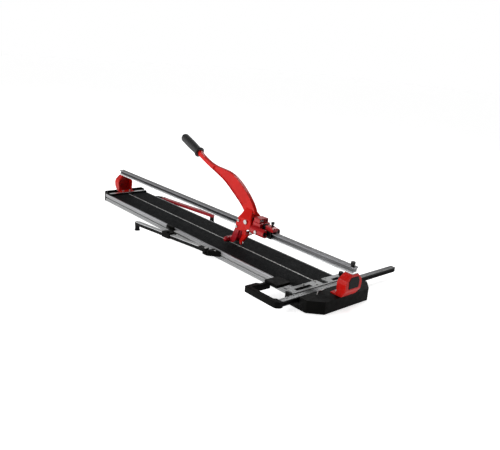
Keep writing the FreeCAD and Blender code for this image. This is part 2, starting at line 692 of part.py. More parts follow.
UPPER_EDGE = [(-45, 341), (3, 317.5), (55, 304), (107, 300), (153, 294.5), (193, 280.5), (234, 255.5),
              (270, 225.5), (294, 197.5), (304, 178)]
LOWER_EDGE = [(-53, 323.5), (3, 300.5), (46, 285), (85, 272), (122, 257), (158, 236.5), (196, 212.5),
              (230, 188.5), (246, 172)]
GRIP_BASE = Vector(-50, 0, 332)
GRIP_DIRECTION = Vector(-111, 0, 44).normalize()


def between(low_index, high_index, margin):
    """The web's outline between the two flanges, as two splines and two straight ends."""
    upper = [(x, z - margin) for x, z in UPPER_EDGE[low_index:high_index]]
    lower = [(x, z + margin) for x, z in LOWER_EDGE[low_index:high_index]]
    return upper, lower


def lever_outline(upper, lower):
    ends = [(upper[-1], lower[-1]), (lower[0], upper[0])]
    edges = [spline_edge(upper), spline_edge(list(reversed(lower)))]
    for start, end in ends:
        edges.append(Part.LineSegment(Vector(*start, 0), Vector(*end, 0)))
    return edges


def lever_arm():
    """Cast lever: a forked head astride the rail, a slim I-section arm, and a tang for the grip."""
    cheek = size("fork_half_width")
    gap = size("fork_gap")
    half, web = 7, 2.5
    body = new_body("lever_head")
    head = [(250, 172), (256, 200, 8), (284, 197, 8), (298, 176, 6), (312, 150, 20), (306, 128, 10),
            (284, 116, 6), (264, 110, 6), (238, 107, 6), (229, 117, 6), (232, 134, 6)]
    add_pad(body, "XZ_Plane", corner_edges(head), "Sizes.fork_half_width * 2", symmetric=True)
    slot = [(-gap, 90), (gap, 90), (gap, 153), (15, 168, 2), (-15, 168, 2), (-gap, 153)]
    add_pocket(body, "YZ_Plane", corner_edges(slot), 200, PIVOT.x, symmetric=True)
    shoulder = [(-cheek, 90), (cheek, 90), (cheek, 158), (half, 192), (half, 220), (-half, 220),
                (-half, 192), (-cheek, 158)]
    shoulder_prism = prism("head_shoulder", "YZ_Plane", shoulder, 200, PIVOT.x, symmetric=True)
    tapered_head = common("tapered_head", body, shoulder_prism)
    arm = new_body("lever_web")
    add_pad(arm, "XZ_Plane", lever_outline(UPPER_EDGE, LOWER_EDGE), half * 2, symmetric=True)
    upper, lower = between(2, 8, 3)
    add_pocket(arm, "XZ_Plane", lever_outline(upper, lower), half - web, half)
    add_pocket(arm, "XZ_Plane", lever_outline(upper, lower), half - web, -half, along_normal=True)
    tang = rod("lever_tang", GRIP_BASE - GRIP_DIRECTION * 8, GRIP_DIRECTION, size("tang_radius"), 108)
    whole = fuse("lever_fuse", [tapered_head, arm, tang])
    holes = [((PIVOT.x, -40, PIVOT.z), ALONG_Y, size("pivot_radius"), 80)]
    holes += [((x, -40, z), ALONG_Y, 3, 80) for x, z in FOOT_SCREWS]
    keep(drilled("lever_arm_drilled", whole, holes), "lever_arm")


def lever_grip():
    """Moulded rubber grip with a flange, pushed on the lever's tang."""
    length = size("grip_length")
    tang = size("tang_radius")
    half_section = [(0, tang), (0, 19, 1), (2, 20.5, 1), (5, 20.5, 2), (8, 17, 2), (16, 16, 8),
                    (length / 2, 17.5, 60), (length - 9, 17, 6), (length - 1, 13, 4), (length, 5),
                    (length, 0), (100, 0), (100, tang)]
    body = new_body("lever_grip")
    sketch = add_sketch(body, "XZ_Plane", corner_edges(half_section))
    turn = body.newObject("PartDesign::Revolution", "GripRevolution")
    turn.Profile = sketch
    turn.ReferenceAxis = (sketch, ["H_Axis"])
    turn.Angle = 360
    body.Tip = turn
    body.Placement = FreeCAD.Placement(GRIP_BASE, FreeCAD.Rotation(ALONG_X, GRIP_DIRECTION))
    keep(body, "lever_grip")


def pivot_bolt():
    """Bolt through the fork and the carriage body, which the lever turns on."""
    cheek = size("fork_half_width")
    shank = document.addObject("Part::Cylinder", "pivot_shank")
    shank.setExpression("Radius", "Sizes.pivot_radius")
    shank.setExpression("Height", "Sizes.fork_half_width * 2 + 8")
    start = Vector(PIVOT.x, -cheek, PIVOT.z)
    shank.Placement = FreeCAD.Placement(start, FreeCAD.Rotation(UP, ALONG_Y))
    head = hex_piece("pivot_head", start, (0, -1, 0), 9, 5)
    keep(fuse("lever_pivot_bolt_fuse", [shank, head]), "lever_pivot_bolt")
    blank = hex_piece("pivot_nut_blank", (PIVOT.x, cheek, PIVOT.z), ALONG_Y, 9, 6)
    hole = (PIVOT.x, cheek - 1, PIVOT.z), ALONG_Y, size("pivot_radius"), 10
    keep(drilled("lever_pivot_nut_drilled", blank, [hole]), "lever_pivot_nut")


def breaking_foot():
    """One casting: a round bar across the ridge, on two arms that are bolted inside the fork."""
    cheek = size("fork_half_width")
    inner, outer = 12, 20
    radius = 10
    reach = 32
    low = FOOT_BAR.z - radius
    arm = [(FOOT_BAR.x - 2, low + 20), (FOOT_BAR.x - 2, low), (206, low, 8), (222, 58, 10), (230, 76, 10),
           (238, 98, 10), (248, 114, 6), (252, 128, 6), (252, 156, 6), (236, 156, 6), (228, 140, 10),
           (221, 118, 12), (212, 98, 12), (205, 80, 10), (198, low + 20, 4)]
    pieces = [rod("foot_bar", FOOT_BAR - ALONG_Y * reach, ALONG_Y, radius, reach * 2)]
    for number, side in enumerate((-1, 1)):
        start = inner if side < 0 else -outer
        pieces.append(prism(f"foot_arm_{number}", "XZ_Plane", arm, outer - inner, start))
        end = document.addObject("Part::Sphere", f"foot_end_{number}")
        end.Radius = radius
        end.Placement.Base = FOOT_BAR + ALONG_Y * side * reach
        pieces.append(end)
        for boss_number, (x, z) in enumerate(FOOT_SCREWS):
            start_point = (x, side * (outer - 1), z)
            length = size("fork_gap") - outer + 1
            pieces.append(rod(f"foot_boss_{number}{boss_number}", start_point, (0, side, 0), 5.5, length))
    yoke = fuse("foot_fuse", pieces)
    holes = [((x, -50, z), ALONG_Y, 3, 100) for x, z in FOOT_SCREWS]
    keep(drilled("breaking_foot_drilled", yoke, holes), "breaking_foot")
    screws = []
    for number, (x, z) in enumerate(FOOT_SCREWS):
        for side_number, side in enumerate((-1, 1)):
            screws.append(cap_screw(f"foot_screw_{number}{side_number}", (x, side * cheek, z),
                                    (0, -side, 0), 5, 4, 3, 16))
    keep(group("foot_screw_group", screws), "foot_screws")
    pads = []
    for number, side in enumerate((-1, 1)):
        near, far = sorted((side * (outer + 1), side * (reach - 1)))
        pad = block(f"foot_pad_{number}", (FOOT_BAR.x - 6, near, low - 1), (FOOT_BAR.x + 8, far, low + 4))
        bar = rod(f"foot_pad_seat_{number}", FOOT_BAR - ALONG_Y * reach, ALONG_Y, radius, reach * 2)
        pads.append(cut(f"foot_pad_cut_{number}", pad, bar))
    keep(group("toe_pad_group", pads), "toe_pads")


def wheel_holder():
    """Red leg under the rail: a bar between the fork's cheeks, and a curved leg for the wheel."""
    inner = size("fork_gap")
    x, z = WHEEL_CENTRE.x, WHEEL_CENTRE.z
    leg = [(262, 103, 3), (282, 103, 3), (282, 94, 3), (266, 86, 8), (256, 72, 10), (x + 7, z + 6, 6),
           (x + 5, z - 5, 4), (x - 6, z - 5, 4), (x - 7, z + 8, 6), (240, 84, 12), (252, 96, 8)]
    body = prism("holder_leg", "XZ_Plane", leg, 12, symmetric=True)
    bar = block("holder_bar", (262, -inner, 96), (282, inner, 104))
    ears = []
    for number, side in enumerate((-1, 1)):
        low, high = sorted((side * (inner - 6), side * inner))
        ears.append(block(f"holder_ear_{number}", (262, low, 96), (282, high, 112)))
    whole = fuse("holder_fuse", [body, bar] + ears)
    slot = block("wheel_slot", (x - 16, -1.9, z - 14), (x + 14, 1.9, z + 13))
    slotted = cut("holder_slotted", whole, slot)
    hole = (x, -20, z), ALONG_Y, 2, 40
    keep(drilled("wheel_holder_drilled", slotted, [hole]), "wheel_holder")
    keep(rod("axle_rod", (x, -7, z), ALONG_Y, 2, 14), "wheel_axle")


def scoring_wheel():
    """Carbide wheel with a sharp rim, turning on its axle."""
    radius = size("wheel_radius")
    half = size("wheel_width") / 2
    bore = 2 + size("running_clearance")
    section = [(bore, -half), (radius - 2.5, -half), (radius, -0.1), (radius, 0.1),
               (radius - 2.5, half), (bore, half)]
    body = new_body("scoring_wheel")
    sketch = add_sketch(body, "XY_Plane", corner_edges(section))
    turn = body.newObject("PartDesign::Revolution", "WheelRevolution")
    turn.Profile = sketch
    turn.ReferenceAxis = (sketch, ["V_Axis"])
    turn.Angle = 360
    body.Tip = turn
    body.Placement.Base = WHEEL_CENTRE
    keep(body, "scoring_wheel")


# ------------------------------------------------------------------ measuring bar and side stop

def measuring_bar():
    """Dark extrusion that slides across the foot, with a ribbed bright strip on top."""
    strip_low = size("bar_top") - STRIP_HEIGHT
    slot = 3
    outline = [(BAR_LEFT, BAR_LOW, 1), (BAR_RIGHT, BAR_LOW, 1), (BAR_RIGHT, 29), (BAR_RIGHT - slot, 29),
               (BAR_RIGHT - slot, 33), (BAR_RIGHT, 33), (BAR_RIGHT, strip_low), (BAR_LEFT, strip_low)]
    body = new_body("measuring_bar")
    add_pad(body, "XZ_Plane", corner_edges(outline), "Sizes.bar_length", -bar_far_end())
    keep(body, "measuring_bar")
    rib_count = 5
    pitch = size("bar_width") / rib_count
    ribs = [(BAR_LEFT, strip_low), (BAR_RIGHT, strip_low)]
    for index in reversed(range(rib_count)):
        start = BAR_LEFT + index * pitch
        ribs += [(start + pitch, size("bar_top")), (start + pitch * 0.6, size("bar_top")),
                 (start + pitch * 0.4, size("bar_top") - 0.6)]
    ribs.append((BAR_LEFT, size("bar_top")))
    strip = prism("bar_scale_strip", "XZ_Plane", ribs, "Sizes.bar_length", -bar_far_end())
    keep(strip, "bar_scale_strip")


def bar_far_end():
    return size("bar_low_end") + size("bar_length")


def bar_end_cap():
    outline = [(BAR_LEFT, BAR_LOW, 2), (BAR_RIGHT, BAR_LOW, 2), (BAR_RIGHT, size("bar_top"), 2),
               (BAR_LEFT, size("bar_top"), 2)]
    keep(prism("bar_end_cap", "XZ_Plane", outline, 6, -bar_far_end() - 6), "bar_end_cap")


def bar_guides():
    """Plastic guide strips in the foot's channel, two on each side of the bar."""
    pieces = []
    for low in (-110, 80):
        for left, right in ((CHANNEL_START, BAR_LEFT - 0.3), (BAR_RIGHT + 0.3, CHANNEL_END)):
            pieces.append(block(f"guide_{len(pieces)}", (left, low, CHANNEL_LOW), (right, low + 30, 34)))
    keep(group("bar_guide_group", pieces), "bar_guides")


def side_stop_frame():
    """Black hook-shaped handle on the near end of the measuring bar, with the side stop on its arm."""
    low, top = 22, 42
    near, inner_near, arm_end = -229, -213, -141
    left, inner_left = TABLE_END - 74, TABLE_END - 58
    right = BAR_RIGHT + 5
    bar_end = size("bar_low_end")
    plan = [(left, near, 6), (right - 10, near, 8), (right, near + 12, 6), (right, bar_end, 2),
            (BAR_LEFT - 4, bar_end, 2), (BAR_LEFT - 10, inner_near, 4), (inner_left, inner_near, 6),
            (inner_left + 8, -176, 10), (inner_left + 8, arm_end, 2), (left + 10, arm_end, 2),
            (left + 10, -172, 6), (left, -182, 6)]
    frame = prism("stop_ring", "XY_Plane", plan, top - low, low)
    tongue_plan = [(left + 5, -152, 3), (left + 63, -152, 3), (left + 63, -93, 3), (left + 5, -93, 3)]
    tongue = prism("stop_tongue", "XY_Plane", tongue_plan, 10, 37.5)
    keep(fuse("side_stop_fuse", [frame, tongue]), "side_stop_frame")


# ------------------------------------------------------------------ support arms

ARMS = {
    "near": {"pivot": (184, -121), "end": (-198, -182), "side": -1},
    "far": {"pivot": (-478, 118), "end": (-158, 162), "side": 1},
}
ARM_TOP = size("arm_bottom") + size("arm_thickness")
NEAR_PIVOT = Vector(*ARMS["near"]["pivot"], 0)
NEAR_ARM = Vector(*ARMS["near"]["end"], 0) - NEAR_PIVOT
STAY_ALONG = 204
STAY_SEAT = NEAR_PIVOT + Vector(NEAR_ARM).normalize() * STAY_ALONG


def support_arm(name, pivot, end, side):
    """Swing-out arm that holds up a wide tile: a bar on a rubber foot, and its bracket."""
    start = Vector(*pivot, 0)
    along = Vector(*end, 0) - start
    length = along.Length
    turn = FreeCAD.Rotation(ALONG_X, along)
    bottom = size("arm_bottom")
    half = size("arm_width") / 2
    eye = 11
    plan = [(-eye, -eye, eye - 0.1), (14, -eye, 6), (26, -half, 6), (length + half, -half, half - 1),
            (length + half, half, half - 1), (26, half, 6), (14, eye, 6), (-eye, eye, eye - 0.1)]
    bar = prism(f"{name}_arm_bar", "XY_Plane", plan, "Sizes.arm_thickness")
    bar.Placement = FreeCAD.Placement(start + UP * bottom, turn)
    holes = [(start + UP * (bottom - 1), UP, 4 + size("running_clearance"), 20)]
    if name == "near":
        holes.append((STAY_SEAT + UP * (bottom - 1), UP, 3 + size("running_clearance"), 20))
    keep(drilled(f"{name}_arm_drilled", bar, holes), f"{name}_support_arm")
    base_height = 5
    foot_base = rod(f"{name}_foot_base", Vector(*end, 0), UP, 10.5, base_height)
    foot_post = rod(f"{name}_foot_post", Vector(*end, base_height), UP, 9, bottom - base_height)
    keep(fuse(f"{name}_arm_foot_fuse", [foot_base, foot_post]), f"{name}_arm_foot")
    bracket(name, start, side)


def arm_strip():
    """Ribbed bright strip along the top of the near arm."""
    half = size("arm_width") / 2
    rib_count = 4
    pitch = half * 2 / rib_count
    outline = [(-half, 0), (half, 0)]
    for index in reversed(range(rib_count)):
        start = index * pitch - half
        outline += [(start + pitch, STRIP_HEIGHT), (start + pitch * 0.6, STRIP_HEIGHT),
                    (start + pitch * 0.4, STRIP_HEIGHT - 0.6)]
    outline.append((-half, STRIP_HEIGHT))
    start_along = 30
    strip = prism("near_arm_strip_bar", "YZ_Plane", outline, NEAR_ARM.Length - start_along, start_along)
    strip.Placement = FreeCAD.Placement(NEAR_PIVOT + UP * ARM_TOP, FreeCAD.Rotation(ALONG_X, NEAR_ARM))
    hole = STAY_SEAT + UP * (ARM_TOP - 1), UP, 3 + size("running_clearance"), 6
    keep(drilled("near_arm_strip_drilled", strip, [hole]), "near_arm_strip")


def bracket(name, start, side):
    """Black bracket on the table's side that the arm turns on, and its pivot bolt."""
    bottom = size("arm_bottom")
    edge = side * TABLE_EDGE
    front = start.y + side * 12
    away = -side
    low = 14
    wedge_start, wedge_end = start.x + away * 14, start.x + away * 56
    wedge_height = ARM_TOP - 1 - low
    lug_plan = [(start.x - away * 9, edge), (wedge_end, edge), (wedge_end - away * 4, edge + side * 5, 2),
                (start.x + away * 18, front, 8), (start.x - away * 9, front, 6)]
    wedge_plan = [(wedge_start, edge), (wedge_end, edge), (wedge_end - away * 4, edge + side * 5, 2),
                  (start.x + away * 24, front - side * 2, 6), (wedge_start, front - side * 4, 2)]
    lug = prism(f"{name}_bracket_lug", "XY_Plane", lug_plan, bottom - 0.3 - low, low)
    wedge = prism(f"{name}_bracket_wedge", "XY_Plane", wedge_plan, wedge_height, low)
    seat = Vector(start.x + away * 36, edge + side * 12, low + wedge_height)
    holes = [(start + UP * (low - 1), UP, 4, 20), (seat - UP * 8, UP, 2, 20)]
    keep(drilled(f"{name}_bracket_drilled", fuse(f"{name}_bracket_fuse", [lug, wedge]), holes),
         f"{name}_arm_bracket")
    shank = rod(f"{name}_bolt_shank", start + UP * low, UP, 4, ARM_TOP + 0.3 - low)
    head = rod(f"{name}_bolt_head", start + UP * (ARM_TOP + 0.3), UP, 6.5, 2.5)
    arm_pivot_bolts.append(fuse(f"{name}_pivot_bolt", [shank, head]))
    frame_screws.append(small_screw(f"{name}_bracket_screw", seat, UP * -1))


def arm_stay():
    """Black clamp round the near arm, with a leg that rests against the table's side, and its knob."""
    middle, across = STAY_SEAT.x, STAY_SEAT.y
    edge = -TABLE_EDGE - 0.3
    half = size("arm_width") / 2
    low = size("arm_bottom") - 2
    inside_top = ARM_TOP + STRIP_HEIGHT
    top = inside_top + 6
    leg_low = low + 6
    wall = 4
    plan = [(middle - 88, edge), (middle - 38, edge), (middle - 38, edge - 10, 3),
            (middle - 28, edge - 18, 4), (middle + 12, edge - 26, 6), (middle + 22, across + 16, 4),
            (middle + 22, across + 4), (middle - 28, across), (middle - 30, across + 20, 6),
            (middle - 50, edge - 18, 4), (middle - 88, edge - 10, 3)]
    leg = prism("stay_leg", "XY_Plane", plan, 8, leg_low)
    heel = block("stay_heel", (middle - 86, edge - 9, leg_low + 1), (middle - 40, edge, leg_low + 15))
    outline = [(-half - wall, low, 2), (half + wall, low, 2), (half + wall, top, 2), (-half - wall, top, 2)]
    sleeve = prism("stay_sleeve", "YZ_Plane", outline, 40, STAY_ALONG, symmetric=True)
    channel = [(-half, size("arm_bottom")), (half, size("arm_bottom")), (half, inside_top),
               (-half, inside_top)]
    passage = prism("stay_passage", "YZ_Plane", channel, 90, STAY_ALONG, symmetric=True)
    turn = FreeCAD.Rotation(ALONG_X, NEAR_ARM)
    for item in (sleeve, passage):
        item.Placement = FreeCAD.Placement(NEAR_PIVOT, turn)
    clamp = cut("stay_clamp", fuse("stay_fuse", [leg, heel, sleeve]), passage)
    hole = STAY_SEAT + UP * (ARM_TOP + 1), UP, 3 + size("running_clearance"), 10
    keep(drilled("near_arm_stay_drilled", clamp, [hole]), "near_arm_stay")
    seat = STAY_SEAT + UP * top
    stem_depth = top - size("arm_bottom")
    knob = fuse("stay_knob_fuse", [rod("stay_knob_stem", seat - UP * stem_depth, UP, 3, stem_depth + 1),
                                   rod("stay_knob_foot", seat + UP * 0.3, UP, 5, 1.7),
                                   rod("stay_knob_head", seat + UP * 1.8, UP, 7, 3.5)])
    keep(knob, "stay_knob")


def build_everything():
    for side_name, side in (("near", -1), ("far", 1)):
        table_profile(f"{side_name}_table_profile", side)
        mat(f"{side_name}_mat", side)
    breaking_ridge()
    left_end_cap()
    end_cap_strip()
    foot_casting()
    fence_plate()
    fence_lock_knob()
    bar_clip()
    rubber_pads()
    towers()
    tower_end_plate()
    guide_rail()
    rail_bolts()
    carriage_body()
    roller_axles()
    rollers()
    for side_name, side in ROLLER_SIDES.items():
        bearing_housing(f"{side_name}_bearing_housing", side)
    housing_fittings()
    carriage_cover()
    rail_wiper()
    carriage_lock()
    stop_screw()
    lever_arm()
    lever_grip()
    pivot_bolt()
    breaking_foot()
    wheel_holder()
    scoring_wheel()
    measuring_bar()
    bar_end_cap()
    bar_guides()
    side_stop_frame()
    for name, arm in ARMS.items():
        support_arm(name, arm["pivot"], arm["end"], arm["side"])
    arm_strip()
    keep(group("frame_screw_group", frame_screws), "frame_screws")
    keep(group("pivot_bolt_group", arm_pivot_bolts), "arm_pivot_bolts")
    arm_stay()


def check_and_write():
    document.recompute()
    for item in document.Objects:
        if "Invalid" in item.State or "Error" in item.State:
            raise RuntimeError(f"{item.Label} failed: {item.State}")
    for item in subparts:
        if item.Shape.isNull() or not item.Shape.isValid():
            raise RuntimeError(f"{item.Label} has no valid shape")
    for item in subparts:
        item.Shape.exportStep(f"parts/{item.Label}.step")
    print(len(subparts), "sub-parts written")


build_everything()
check_and_write()
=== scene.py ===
import json
import math

import bpy
from mathutils import Matrix, Vector

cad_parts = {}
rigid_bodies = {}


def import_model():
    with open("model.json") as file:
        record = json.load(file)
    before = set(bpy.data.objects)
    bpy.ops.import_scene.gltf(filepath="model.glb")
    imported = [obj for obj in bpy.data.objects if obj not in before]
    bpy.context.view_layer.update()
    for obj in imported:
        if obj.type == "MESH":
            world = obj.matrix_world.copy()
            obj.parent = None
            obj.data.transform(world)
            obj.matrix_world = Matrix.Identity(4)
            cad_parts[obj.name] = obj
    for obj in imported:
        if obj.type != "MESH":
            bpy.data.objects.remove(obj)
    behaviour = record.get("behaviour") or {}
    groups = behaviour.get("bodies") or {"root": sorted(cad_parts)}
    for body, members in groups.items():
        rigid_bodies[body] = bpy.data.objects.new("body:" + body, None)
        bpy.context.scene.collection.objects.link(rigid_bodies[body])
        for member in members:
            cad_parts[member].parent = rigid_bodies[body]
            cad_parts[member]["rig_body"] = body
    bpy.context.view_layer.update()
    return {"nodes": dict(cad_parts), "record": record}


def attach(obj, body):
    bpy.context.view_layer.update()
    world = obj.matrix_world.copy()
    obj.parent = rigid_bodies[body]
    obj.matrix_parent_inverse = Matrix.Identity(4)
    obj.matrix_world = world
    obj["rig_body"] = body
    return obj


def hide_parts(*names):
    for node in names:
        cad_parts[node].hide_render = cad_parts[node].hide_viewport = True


# Looks of a manual tile cutter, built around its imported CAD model.  Metres throughout.
# X runs along the guide rail towards the fence, Y runs across the table, Z is up.

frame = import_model()
nodes = frame["nodes"]
OVERHEAD = 0.22     # brightness overhead, against 1 at the horizon
FENCE_SIDE = 0.12   # brightness of the surroundings beyond the fence end
ALONG_X = (0.02, 1, 1)   # stretch that draws streaks out along X
ALONG_Y = (1, 0.02, 1)   # stretch that draws streaks out along Y

# Heights of the rail's and the table's features, which the metal's tones follow; the rail's bands and
# the table's lighter lip are painted shade and painted highlight.
RAIL_BOTTOM, RAIL_LINE_TOP = 0.1150, 0.1164
RAIL_GROOVE_LOW, RAIL_GROOVE_HIGH = 0.1225, 0.1315
RAIL_TOP_FACE = 0.1366
TABLE_LINES = ((0.0295, 0.0305), (0.0105, 0.0115))
TABLE_LIP = 0.0305
SCALE_TOP_FACE = 0.0392


# ------------------------------------------------------------------ camera, light and floor

def add_camera():
    """A camera that looks down on the near side of the fence end."""
    azimuth = math.radians(48.18)
    elevation = math.radians(16.98)
    roll = math.radians(4.69)
    back = Vector((math.sin(azimuth) * math.cos(elevation),
                   -math.cos(azimuth) * math.cos(elevation), math.sin(elevation)))
    level_right = Vector((math.cos(azimuth), math.sin(azimuth), 0))
    level_up = back.cross(level_right)
    right = level_right * math.cos(roll) + level_up * math.sin(roll)
    up = level_up * math.cos(roll) - level_right * math.sin(roll)
    data = bpy.data.cameras.new("Camera")
    data.sensor_width = 36
    data.lens = 40.27
    camera = bpy.data.objects.new("Camera", data)
    bpy.context.scene.collection.objects.link(camera)
    turn = Matrix((right, up, back)).transposed().to_4x4()
    place = (1.69384, -1.27018, 0.7119)
    camera.matrix_world = Matrix.Translation(place) @ turn
    bpy.context.scene.camera = camera


def add_area_light(name, place, aim, width, height, power):
    data = bpy.data.lights.new(name, "AREA")
    data.shape = "RECTANGLE"
    data.size = width
    data.size_y = height
    data.energy = power
    light = bpy.data.objects.new(name, data)
    light.location = place
    light.rotation_mode = "QUATERNION"
    light.rotation_quaternion = (Vector(aim) - Vector(place)).to_track_quat("-Z", "Y")
    bpy.context.scene.collection.objects.link(light)


def add_backdrop():
    """Surroundings that are white at the horizon, dimmer overhead and dim beyond the fence end."""
    world = bpy.data.worlds.new("Studio")
    world.use_nodes = True
    tree = world.node_tree
    direction = tree.nodes.new("ShaderNodeTexCoord").outputs["Generated"]
    parts = tree.nodes.new("ShaderNodeSeparateXYZ")
    tree.links.new(direction, parts.inputs["Vector"])
    factors = []
    for axis, start, end, last in (("Z", 0.12, 0.6, OVERHEAD), ("X", -0.1, 0.8, FENCE_SIDE)):
        fade = tree.nodes.new("ShaderNodeMapRange")
        tree.links.new(parts.outputs[axis], fade.inputs["Value"])
        fade.inputs["From Min"].default_value = start
        fade.inputs["From Max"].default_value = end
        fade.inputs["To Min"].default_value = 1
        fade.inputs["To Max"].default_value = last
        factors.append(fade.outputs["Result"])
    product = tree.nodes.new("ShaderNodeMath")
    product.operation = "MULTIPLY"
    for factor, socket in zip(factors, product.inputs):
        tree.links.new(factor, socket)
    tree.links.new(product.outputs[0], tree.nodes["Background"].inputs["Strength"])
    tree.nodes["Background"].inputs["Color"].default_value = (1, 1, 1, 1)
    bpy.context.scene.world = world


def add_studio():
    """Pale glowing floor, pale surroundings and three soft boxes."""
    bpy.context.scene.view_settings.view_transform = "Standard"
    add_backdrop()
    add_area_light("Key", (-0.7, -2.6, 0.9), (0.1, 0, 0.12), 2.0, 0.9, 46)
    add_area_light("Top", (0.3, -0.3, 2.6), (0.2, 0, 0.1), 1.6, 1.0, 9)
    add_area_light("Rim", (-0.3, 1.9, 2.4), (0.1, 0, 0.1), 1.6, 0.8, 32)
    floor_side = 40
    bpy.ops.mesh.primitive_plane_add(size=floor_side, location=(0, 0, 0))
    floor = bpy.context.object
    floor.name = "floor"
    floor.data.materials.append(floor_paint())


# ------------------------------------------------------------------ material helpers

class Paint:
    """A Principled material with short calls for the node patterns used here."""

    def __init__(self, name, colour, roughness, metallic=0.0):
        self.material = bpy.data.materials.new(name)
        self.material.use_nodes = True
        self.tree = self.material.node_tree
        self.shader = self.tree.nodes["Principled BSDF"]
        self.colour = colour
        self.put("Base Color", (*colour, 1))
        self.put("Roughness", roughness)
        self.put("Metallic", metallic)
        coordinates = self.tree.nodes.new("ShaderNodeTexCoord")
        self.coordinates = coordinates.name
        self.place = coordinates.outputs["Object"]

    def put(self, socket, value):
        self.shader.inputs[socket].default_value = value

    def join(self, start, end):
        self.tree.links.new(start, end)

    def node(self, kind, **inputs):
        made = self.tree.nodes.new(kind)
        for key, value in inputs.items():
            socket = made.inputs[key.replace("_", " ")]
            if isinstance(value, bpy.types.NodeSocket):
                self.join(value, socket)
            else:
                socket.default_value = value
        return made

    def scaled(self, stretch):
        """Object coordinates multiplied per axis, so that a pattern can be drawn out."""
        mapping = self.node("ShaderNodeMapping", Vector=self.place)
        mapping.inputs["Scale"].default_value = stretch
        return mapping.outputs["Vector"]

    def noise(self, scale, detail=3.0, stretch=(1, 1, 1)):
        made = self.node("ShaderNodeTexNoise", Vector=self.scaled(stretch), Scale=scale,
                         Detail=detail)
        return made.outputs["Fac"]

    def cells(self, scale, stretch=(1, 1, 1)):
        made = self.node("ShaderNodeTexVoronoi", Vector=self.scaled(stretch), Scale=scale)
        return made.outputs["Distance"]

    def span(self, value, low, high, new_low, new_high):
        """Carry a value from one range to another, held at the ends."""
        made = self.node("ShaderNodeMapRange", Value=value)
        made.inputs["From Min"].default_value = low
        made.inputs["From Max"].default_value = high
        made.inputs["To Min"].default_value = new_low
        made.inputs["To Max"].default_value = new_high
        return made.outputs["Result"]

    def calc(self, operation, first, second=0.0):
        """A maths node on two values, each a socket or a number."""
        made = self.tree.nodes.new("ShaderNodeMath")
        made.operation = operation
        for socket, value in zip(made.inputs, (first, second)):
            if isinstance(value, bpy.types.NodeSocket):
                self.join(value, socket)
            else:
                socket.default_value = value
        return made.outputs[0]

    def along(self, axis, place=None):
        """One coordinate of the surface point."""
        return self.node("ShaderNodeSeparateXYZ", Vector=place or self.place).outputs[axis]

    def inside(self, value, low, high):
        """1 where the value lies between low and high."""
        above = self.calc("GREATER_THAN", value, low)
        return self.calc("MULTIPLY", above, self.calc("LESS_THAN", value, high))

    def ticks(self, value, pitch, width):
        """1 on thin lines that repeat with the pitch."""
        share = self.calc("FRACT", self.calc("DIVIDE", value, pitch))
        return self.calc("LESS_THAN", share, width / pitch)

    def wave(self, value, pitch):
        """A height that goes smoothly up and down once per pitch."""
        return self.calc("SINE", self.calc("MULTIPLY", value, 2 * math.pi / pitch))

    def knurl(self, count, strength, distance):
        """Upright ridges all round a knob whose axis is the middle of its own box."""
        box = self.tree.nodes[self.coordinates].outputs["Generated"]
        across = self.calc("SUBTRACT", self.along("X", box), 0.5)
        deep = self.calc("SUBTRACT", self.along("Y", box), 0.5)
        angle = self.calc("ARCTAN2", deep, across)
        self.bump(self.wave(angle, 2 * math.pi / count), strength, distance)

    def vary_roughness(self, value, low, high):
        self.join(self.span(value, 0.3, 0.7, low, high), self.shader.inputs["Roughness"])

    def vary_colour(self, value, darker, lighter):
        """Blend the colour from its darker to its lighter shade as the value goes 0.3 to 0.7."""
        mix = self.node("ShaderNodeMix")
        mix.data_type = "RGBA"
        sockets = [s for s in mix.inputs if s.type == "RGBA"]
        sockets[0].default_value = (*[c * darker for c in self.colour], 1)
        sockets[1].default_value = (*[min(c * lighter, 1) for c in self.colour], 1)
        self.join(self.span(value, 0.3, 0.7, 0, 1), mix.inputs["Factor"])
        result = next(s for s in mix.outputs if s.type == "RGBA")
        self.join(result, self.shader.inputs["Base Color"])
        return result

    def cover(self, mask, colour):
        """Lay a second colour over what the Base Color holds, where the mask is 1."""
        base = self.shader.inputs["Base Color"]
        under = base.links[0].from_socket if base.links else None
        mix = self.node("ShaderNodeMix")
        mix.data_type = "RGBA"
        sockets = [s for s in mix.inputs if s.type == "RGBA"]
        if under:
            self.join(under, sockets[0])
        else:
            sockets[0].default_value = (*self.colour, 1)
        sockets[1].default_value = (*colour, 1)
        self.join(mask, mix.inputs["Factor"])
        self.join(next(s for s in mix.outputs if s.type == "RGBA"), base)

    def bump(self, height, strength, distance):
        """Add fine relief.  Distance is the height in metres of a full step."""
        made = self.node("ShaderNodeBump", Height=height, Strength=strength, Distance=distance)
        normal = self.shader.inputs["Normal"]
        if normal.links:
            self.join(normal.links[0].from_socket, made.inputs["Normal"])
        self.join(made.outputs["Normal"], normal)

    def worn_edges(self, low, high):
        """A mask that is 1 on sharp outside edges, broken up by noise."""
        pointiness = self.node("ShaderNodeNewGeometry").outputs["Pointiness"]
        edge = self.span(pointiness, low, high, 0, 1)
        breakup = self.span(self.noise(180), 0.45, 0.62, 0, 1)
        return self.calc("MULTIPLY", edge, breakup)


# ------------------------------------------------------------------ materials

def floor_paint():
    paint = Paint("floor_paint", (0.93, 0.93, 0.93), 0.9)
    paint.vary_colour(paint.noise(1.5), 0.99, 1.01)
    paint.put("Emission Color", (1, 1, 1, 1))
    paint.put("Emission Strength", 0.75)
    return paint.material


def red_paint(name, colour, coat):
    """Glossy powder coat with a slight orange peel and lighter, rubbed edges."""
    paint = Paint(name, colour, 0.36)
    paint.put("Specular IOR Level", 0.06)
    paint.put("Coat Weight", coat)
    paint.put("Coat Roughness", 0.15)
    paint.vary_colour(paint.noise(14), 0.88, 1.1)
    paint.vary_roughness(paint.noise(60), 0.3, 0.46)
    paint.cover(paint.worn_edges(0.53, 0.62), [value + 0.06 for value in colour])
    paint.bump(paint.noise(650, 2), 0.25, 0.0004)
    return paint.material


